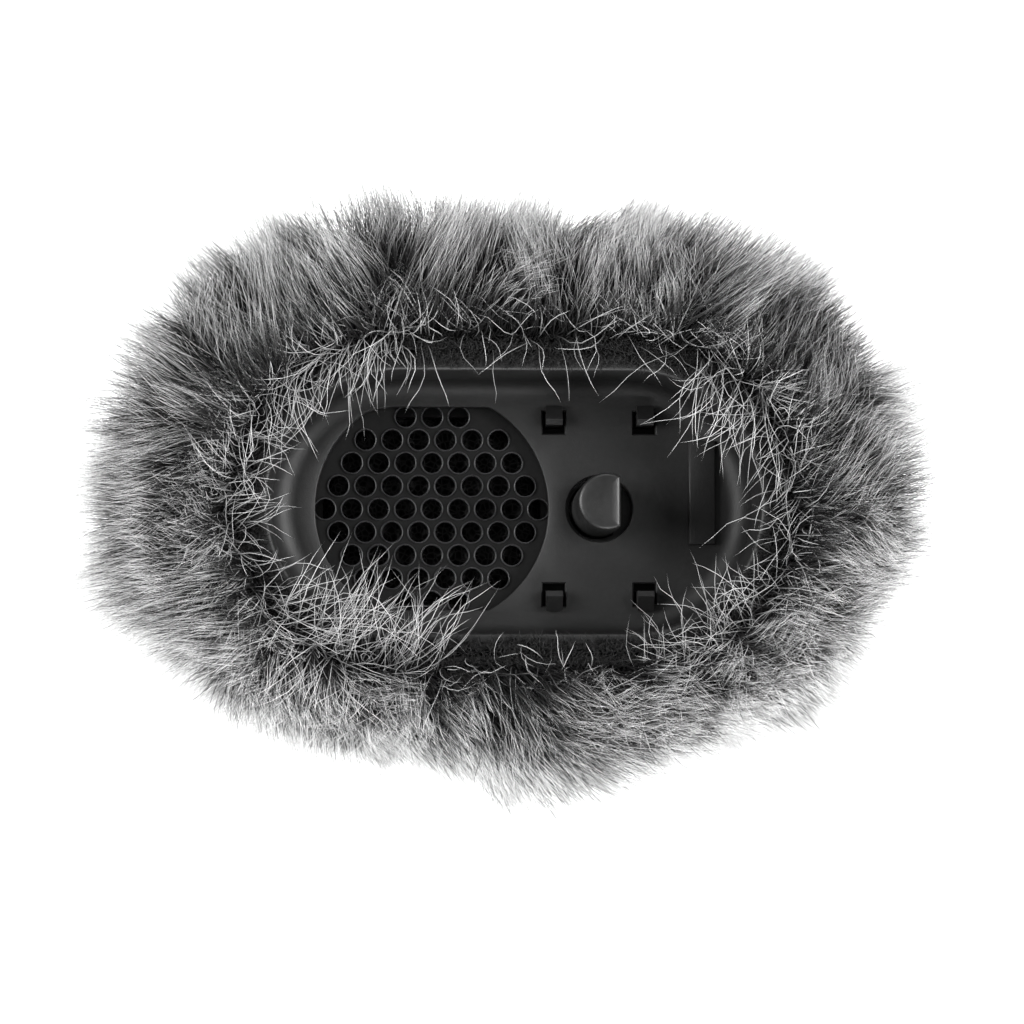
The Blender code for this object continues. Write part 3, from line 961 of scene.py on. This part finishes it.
def strands(name, lines, thick, rng, material, painted_light_fibres=None):
    """One mesh of fibres: each a tapering three-sided prism that ends in a point.

    The last argument says which fibres take the material's lighter ramp, painted light, where it
    has two sorts."""
    count, points, _ = lines.shape
    ahead = unit(np.gradient(lines, axis=1))
    first = unit(np.cross(ahead, rng.normal(size=(count, 1, 3))))
    second = np.cross(ahead, first)
    t = np.linspace(0.0, 1.0, points)
    radius = thick[:, None] * (1.0 - 0.82 * t ** 1.5)[None, :]
    ring_count = points - 1
    turns = 2.0 * math.pi * np.arange(3) / 3.0
    rings = (lines[:, :-1, None, :]
             + radius[:, :-1, None, None] * (first[:, :-1, None, :] * np.cos(turns)[:, None]
                                             + second[:, :-1, None, :] * np.sin(turns)[:, None]))
    tips = lines[:, -1:, :]
    each = ring_count * 3 + 1
    verts = np.concatenate([rings.reshape(count, -1, 3), tips], axis=1) * MM
    faces = [(0, 2, 1)]
    column = [(0.0, 1.0, 0.5)]
    level = [(0.0, 0.0, 0.0)]
    for ring in range(ring_count - 1):
        for i in range(3):
            j = (i + 1) % 3
            a, b = ring * 3 + i, ring * 3 + j
            faces += [(a, b, b + 3), (a, b + 3, a + 3)]
            u, v = ACROSS[i], ACROSS[j]
            column += [(u, v, v), (u, v, u)]
            level += [(ring, ring, ring + 1), (ring, ring + 1, ring + 1)]
    for i in range(3):
        j = (i + 1) % 3
        start = (ring_count - 1) * 3
        faces.append((start + i, start + j, each - 1))
        column.append((ACROSS[i], ACROSS[j], 0.5))
        level.append((ring_count - 1, ring_count - 1, ring_count))
    faces = np.array(faces)
    triangles = (faces[None] + (np.arange(count) * each)[:, None, None]).reshape(-1)
    mesh = bpy.data.meshes.new(name)
    mesh.vertices.add(count * each)
    mesh.vertices.foreach_set("co", verts.astype(np.float32).reshape(-1))
    mesh.loops.add(len(triangles))
    mesh.loops.foreach_set("vertex_index", triangles.astype(np.int32))
    mesh.polygons.add(len(triangles) // 3)
    mesh.polygons.foreach_set("loop_start", np.arange(0, len(triangles), 3, dtype=np.int32))
    shade = rng.integers(0, STRAND_COLUMNS, count)
    if painted_light_fibres is not None:
        shade = shade // 2 + np.where(painted_light_fibres, STRAND_COLUMNS // 2, 0)
    u = (shade[:, None] + 0.15 + 0.7 * np.array(column).reshape(1, -1)) / STRAND_COLUMNS
    v = np.broadcast_to(np.array(level, float).reshape(1, -1) / ring_count, u.shape)
    layer = mesh.uv_layers.new(name=FUR_UV)
    layer.data.foreach_set("uv", np.stack([u, v], axis=-1).astype(np.float32).reshape(-1))
    mesh.update(calc_edges=True)
    return new_object(name, mesh, material, 180.0)


MOST_FACES = 185000     # triangles in one piece, so that the export keeps them all
PILE_STEPS = 4          # straight runs in one fibre
LOCKS = 300
TUFTS = 4200
FIBRES = 88000


def faces_in(steps):
    """Triangles in one fibre of this many straight runs, as strands() makes it."""
    return 6 * steps - 2


def pile(material):
    """The whole pile, gore by gore, in pieces of a size that exports well."""
    rng = np.random.default_rng(SEED)
    lock_roots = Roots(LOCKS, rng)
    locks = grow(lock_roots, rng, PILE_STEPS, 0.24, 0.25, 0.16)
    tuft_roots = Roots(TUFTS, rng)
    tufts = grow(tuft_roots, rng, PILE_STEPS, 0.18, 0.2, 0.22)
    tufts = gather(tufts, tuft_roots, locks, lock_roots, rng.uniform(0.35, 0.8, TUFTS), 1.0)
    roots = Roots(FIBRES, rng)
    lines = grow(roots, rng, PILE_STEPS, 0.10, 0.2, 0.30)
    lines = gather(lines, roots, tufts, tuft_roots, rng.uniform(0.3, 0.82, FIBRES), 1.1)
    lines = settle(lines)
    thick = rng.uniform(0.030, 0.044, FIBRES)
    gores = np.where(clear_of_socket(lines), gore_of(roots.angle), "")
    # Paler fibres, painted light that lightens the outer pile, start nearer to the hem at the
    # front than at the back, painting the front lighter
    start = 4.2 + 2.4 * np.sin(np.radians(roots.bearing))
    painted_light_fibres = rng.random(FIBRES) < np.clip((roots.down - start) / 4.0, 0.0, 1.0)
    each = MOST_FACES // faces_in(PILE_STEPS)
    made = {}
    for gore in GORES:
        chosen = np.flatnonzero(gores == gore)
        parts = math.ceil(len(chosen) / each)
        made[gore] = []
        for part in range(parts):
            own = chosen[part::parts]
            name = f"fur_{gore}_{part + 1:02d}"
            made[gore].append(strands(name, lines[own], thick[own], rng, material, painted_light_fibres[own]))
    return made


# Loose fibres that cross the rim, in groups: bearing of the middle of the group, its spread, the
# heading of its fibres and the spread of that, all in degrees, their length in mm, their number
CROSSING = [(217, 6, 42, 28, 7.5, 55), (232, 7, 62, 28, 7.5, 85), (205, 6, 5, 32, 6.0, 40),
            (190, 7, -10, 45, 4.5, 40), (168, 8, -20, 50, 4.0, 40), (152, 6, -60, 40, 4.5, 30),
            (139, 7, -112, 20, 6.8, 60), (128, 5, -98, 25, 5.0, 35), (30, 7, -112, 22, 7.0, 55),
            (15, 7, -115, 32, 5.0, 35), (0, 6, 190, 45, 3.5, 25), (-11, 5, 205, 20, 6.0, 12),
            (-30, 8, 140, 45, 5.5, 80), (-42, 6, 110, 30, 4.5, 25), (104, 4, -60, 20, 4.0, 5),
            (87, 3, -135, 12, 4.8, 2), (76, 7, -80, 12, 5.0, 7), (65, 5, -55, 12, 5.0, 5),
            (50, 5, -35, 15, 4.5, 5), (282, 12, 95, 30, 3.2, 8)]


def loose_lines(rng, points, theta, tilt, length, steps=6):
    """Centre lines of loose fibres that rise, arch over and bend sideways."""
    count = len(points)
    bend = rng.normal(0.0, 0.75, count)
    sway = rng.normal(0.0, 0.35, count)
    lines = np.empty((count, steps + 1, 3))
    lines[:, 0] = points
    for step in range(steps):
        t = (step + 0.5) / steps
        around_up = theta + bend * (t - 0.4) + sway * math.sin(6.0 * t)
        rise = tilt * (1.35 - 1.7 * t)
        heading = np.stack([np.cos(around_up) * np.cos(rise), np.sin(around_up) * np.cos(rise),
                            np.sin(rise)], axis=1)
        lines[:, step + 1] = lines[:, step] + heading * (length / steps)[:, None]
    return lines


def hem_points(rng, count, bearing, spread):
    """Points on the top of the hem whose bearing is near the one given."""
    reach = rng.uniform(CUP_REACH + 0.4, HEM_REACH + 0.5, count * 40)
    x, y, _ = spread_over(rng, reach)
    points = np.stack([x, y, np.full(len(reach), RIM + 0.1)], axis=1)
    seen = np.degrees(np.arctan2(points[:, 1], points[:, 0]))
    off = (seen - bearing + 180.0) % 360.0 - 180.0
    chosen = np.flatnonzero(rng.random(len(off)) < np.exp(-0.5 * (off / spread) ** 2))
    return points[rng.permutation(chosen)[:count]]


LOOSE_FROM_HEM = 12.0   # how far from the hem loose fibres grow
LOOSE_POOL = 21000      # of which some are chosen
BUNDLES = 1500
# Fibres of the black fuzz at the hem, which is painted shade
SHADE_FUZZ = 16000


def messy_lines(rng, roots):
    """Centre lines of loose fibres that point every way, though mostly outwards."""
    count = len(roots.point)
    theta = np.arctan2(roots.out[:, 1], roots.out[:, 0]) + rng.normal(0.0, 1.0, count)
    tilt = np.radians(table_at(roots.down, TILT)) + rng.normal(0.1, 0.35, count)
    length = rng.uniform(2.2, 6.0, count) + 0.25 * roots.down
    return loose_lines(rng, roots.point, theta, tilt, length)


def loose_fibres(material):
    """Messy fibres round the hem, and groups of them that lean in over the rim."""
    rng = np.random.default_rng(SEED + 1)
    sets = []
    for bearing, spread, heading, fan, length, count in CROSSING:
        points = hem_points(rng, count, bearing, spread)
        count = len(points)
        theta = np.radians(rng.normal(heading, fan, count))
        tilt = rng.uniform(0.15, 0.8, count)
        sets.append(loose_lines(rng, points, theta, tilt, length * rng.uniform(0.45, 1.15, count)))
    bundle_roots = Roots(BUNDLES, rng, 0.0, LOOSE_FROM_HEM)
    bundles = messy_lines(rng, bundle_roots)
    roots = Roots(LOOSE_POOL, rng, 0.0, LOOSE_FROM_HEM)
    lines = gather(messy_lines(rng, roots), roots, bundles, bundle_roots,
                   rng.uniform(0.2, 0.9, LOOSE_POOL), 0.7)
    chance = np.clip(1.15 - roots.down / LOOSE_FROM_HEM, 0.0, 1.0)
    chance *= 0.62 + 0.38 * np.cos(2.0 * np.radians(roots.bearing))
    sets.append(lines[rng.random(LOOSE_POOL) < 0.15 + chance])
    lines = np.concatenate([own[clear_of_socket(own)] for own in sets])
    thick = rng.uniform(0.024, 0.037, len(lines))
    return in_pieces("loose_fibres", lines, thick, rng, material)


def in_pieces(name, lines, thick, rng, material):
    """Meshes of these fibres, none of them over the size that exports well."""
    parts = math.ceil(len(lines) * faces_in(lines.shape[1] - 1) / MOST_FACES)
    return [strands(f"{name}_{part + 1:02d}", lines[part::parts], thick[part::parts], rng,
                    material) for part in range(parts)]


def shade_fuzz(material):
    """Short black fuzz from the hem, painted shade: it closes the gap and hides the outer part of
    the rim, darkening them as the pile's shadow would.
    """
    rng = np.random.default_rng(SEED + 2)
    count = SHADE_FUZZ
    reach = rng.uniform(MOUTH_REACH + 0.4, HEM_REACH + 0.9, count)
    x, y, angle = spread_over(rng, reach)
    height = np.full(count, RIM + 0.02) + rng.uniform(0.0, 0.25, count)
    points = np.stack([x, y, height], axis=1)
    theta = angle + math.pi + rng.normal(0.0, 1.0, count)
    lines = loose_lines(rng, points, theta, rng.uniform(0.1, 0.45, count),
                        rng.uniform(0.35, 0.9, count), 3)
    lines = lines[clear_of_socket(lines)]
    return in_pieces("shade_fuzz", lines, rng.uniform(0.03, 0.045, len(lines)), rng, material)


def coat():
    # The fur's second ramp is painted light: the paler fibres of the outer pile, more of them at
    # the front
    fur = fur_material("fur_fibre", [(0.0, 0.002), (0.46, 0.005), (0.64, 0.03), (0.78, 0.16),
                                     (0.9, 0.6), (1.0, 0.95)], 0.25,
                       [(0.0, 0.004), (0.28, 0.012), (0.48, 0.09), (0.62, 0.3), (0.78, 0.68),
                        (1.0, 0.8)])
    stray = fur_material("stray_fibre", [(0.0, 0.02), (0.25, 0.12), (0.5, 0.4), (1.0, 0.8)], 0.4)
    # The black fibres of the fuzz at the hem are painted shade
    dark = fur_material("painted_shade_fibre", [(0.0, 0.002), (0.6, 0.006), (1.0, 0.02)], 0.5)
    cloth = weave_material("backing_knit", 0.5, 0.003, 0.01)
    made = pile(fur)
    loose = [keep(piece, "fur") for piece in loose_fibres(stray) + shade_fuzz(dark)]
    for gore, (first, last) in GORES.items():
        for piece in made[gore]:
            keep(piece, "fur", "fur_" + gore)
        sheet, area, flat = backing(gore, first, last, cloth)


# ---------------------------------------------------------------- stage, light and camera

PAPER = 3.0             # side of the sheet of paper that the object lies on, in metres
# Grey of the sky, from the horizon (0) to overhead (1)
SKY = [(0.0, 0.92), (0.1, 0.85), (0.25, 0.35), (0.5, 0.2), (0.85, 0.16), (1.0, 0.24)]


def studio():
    """White paper that glows a little, a soft sky and four large lamps."""
    low, high = CAD_BOX
    bpy.ops.mesh.primitive_plane_add(size=PAPER, location=(0.0, 0.0, low.z - 0.00002))
    floor = bpy.context.object
    floor.name = "studio_floor"
    n = Nodes("studio_paper")
    n.colour(n.ramp(n.noise(0.02, 2.0), [(0.3, 0.93), (0.7, 0.95)]))
    n.set("Roughness", 0.9)
    n.set("Emission Color", (1.0, 1.0, 1.0, 1.0))
    n.set("Emission Strength", 0.6)
    paint(floor, n.material)

    world = bpy.data.worlds.new("studio_air")
    world.use_nodes = True
    tree = world.node_tree
    place = tree.nodes.new("ShaderNodeTexCoord")
    parts = tree.nodes.new("ShaderNodeSeparateXYZ")
    ramp = tree.nodes.new("ShaderNodeValToRGB")
    fill_ramp(ramp.color_ramp, SKY)
    tree.links.new(place.outputs["Generated"], parts.inputs["Vector"])
    tree.links.new(parts.outputs["Z"], ramp.inputs["Fac"])
    tree.links.new(ramp.outputs["Color"], tree.nodes["Background"].inputs["Color"])
    bpy.context.scene.world = world

    middle = (low + high) / 2
    area_light("soft_left", middle, (-0.38, 0.05, 0.28), 0.26, 3.0)
    area_light("soft_right", middle, (0.38, 0.03, 0.28), 0.26, 3.2)
    area_light("soft_front", middle, (0.05, -0.40, 0.13), 0.24, 2.6)
    area_light("soft_back", middle, (0.0, 0.40, 0.16), 0.24, 0.6)


def area_light(name, target, offset, size, power):
    """A square lamp at this offset from its target, facing it."""
    data = bpy.data.lights.new(name, "AREA")
    data.shape = "SQUARE"
    data.size = size
    data.energy = power
    lamp = bpy.data.objects.new(name, data)
    bpy.context.collection.objects.link(lamp)
    lamp.location = target + Vector(offset)
    lamp.rotation_euler = (-Vector(offset)).to_track_quat("-Z", "Y").to_euler()


LENS = 96.0
DISTANCE = 0.172        # from the camera to its target, in metres


def camera():
    """Looks almost straight down into the mouth, with +X to the right, from 4 degrees off."""
    data = bpy.data.cameras.new("camera")
    data.lens = LENS
    data.sensor_width = 36.0
    item = bpy.data.objects.new("camera", data)
    bpy.context.collection.objects.link(item)
    target = Vector((0.0, -0.0003, 0.022))
    back = Vector((-math.sin(math.radians(2.0)), -math.sin(math.radians(3.6)), 1.0)).normalized()
    item.location = target + back * DISTANCE
    right = Vector((0.0, 1.0, 0.0)).cross(back).normalized()
    item.rotation_euler = Matrix((right, back.cross(right), back)).transposed().to_euler()
    data.clip_start = 0.01
    data.clip_end = 10.0
    bpy.context.scene.camera = item
    bpy.context.scene.view_settings.view_transform = "Standard"


camera()
studio()
dress_plastics()
grille()
foams()
hem()
coat()
